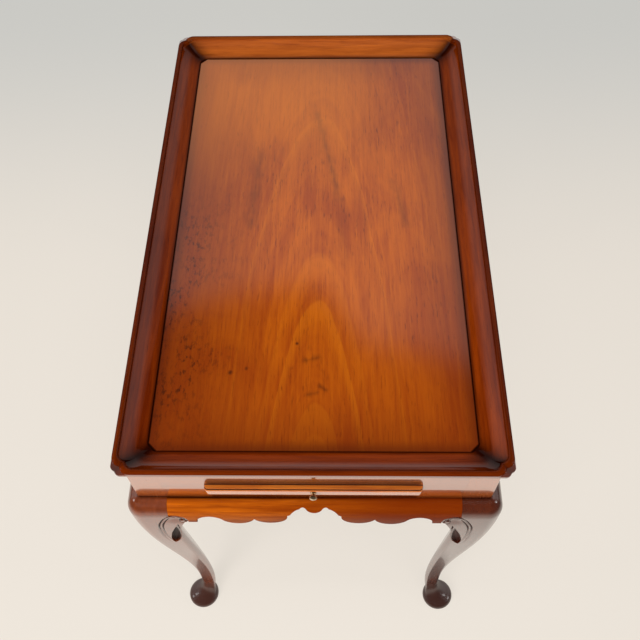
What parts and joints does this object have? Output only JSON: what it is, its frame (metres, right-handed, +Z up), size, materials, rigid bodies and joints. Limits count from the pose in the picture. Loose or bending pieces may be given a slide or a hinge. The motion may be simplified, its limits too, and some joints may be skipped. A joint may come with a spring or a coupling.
{
  "type": "tray top tea table",
  "caption": "Mahogany tea table with a coved, cusp-cornered tray top on carved cabriole legs with pad feet, scalloped aprons and a candle slide that draws out at either end.",
  "frame": {"origin": "on the floor under the middle of the tray", "axes": "+Z up, +Y along the table from the near end to the far end, +X across it to the right"},
  "size_m": [0.504, 0.826, 0.673],
  "materials": {
    "tray_field": "figured mahogany board, polished",
    "mahogany": "dark red-brown mahogany, polished",
    "secondary_wood": "plain unpolished pine",
    "brass": "worn polish",
    "screw_steel": "old iron"
  },
  "bodies": {
    "table": {"tray_panel": "tray_field", "runner_left": "secondary_wood", "runner_right": "secondary_wood", "top_screws": "screw_steel", "rim_front": "mahogany", "rail_front": "mahogany", "apron_front": "mahogany", "rim_back": "mahogany", "rail_back": "mahogany", "apron_back": "mahogany", "rim_left": "mahogany", "rail_left": "mahogany", "apron_left": "mahogany", "rim_right": "mahogany", "rail_right": "mahogany", "apron_right": "mahogany", "leg_front_left": "mahogany", "knee_block_front_left_end": "mahogany", "knee_block_front_left_side": "mahogany", "corner_block_front_left": "secondary_wood", "leg_front_right": "mahogany", "knee_block_front_right_end": "mahogany", "knee_block_front_right_side": "mahogany", "corner_block_front_right": "secondary_wood", "leg_back_left": "mahogany", "knee_block_back_left_end": "mahogany", "knee_block_back_left_side": "mahogany", "corner_block_back_left": "secondary_wood", "leg_back_right": "mahogany", "knee_block_back_right_end": "mahogany", "knee_block_back_right_side": "mahogany", "corner_block_back_right": "secondary_wood"},
    "front_slide": {"slide_board_front": "mahogany", "slide_lip_front": "mahogany", "slide_pins_front": "secondary_wood", "knob_front": "brass"},
    "back_slide": {"slide_board_back": "mahogany", "slide_lip_back": "mahogany", "slide_pins_back": "secondary_wood", "knob_back": "brass"}
  },
  "joints": [
    {"name": "front_slide_draw", "type": "slide", "parent": "table", "child": "front_slide", "axis": [0, -1, 0], "range_m": [0, 0.22]},
    {"name": "back_slide_draw", "type": "slide", "parent": "table", "child": "back_slide", "axis": [0, 1, 0], "range_m": [0, 0.22]}
  ]
}
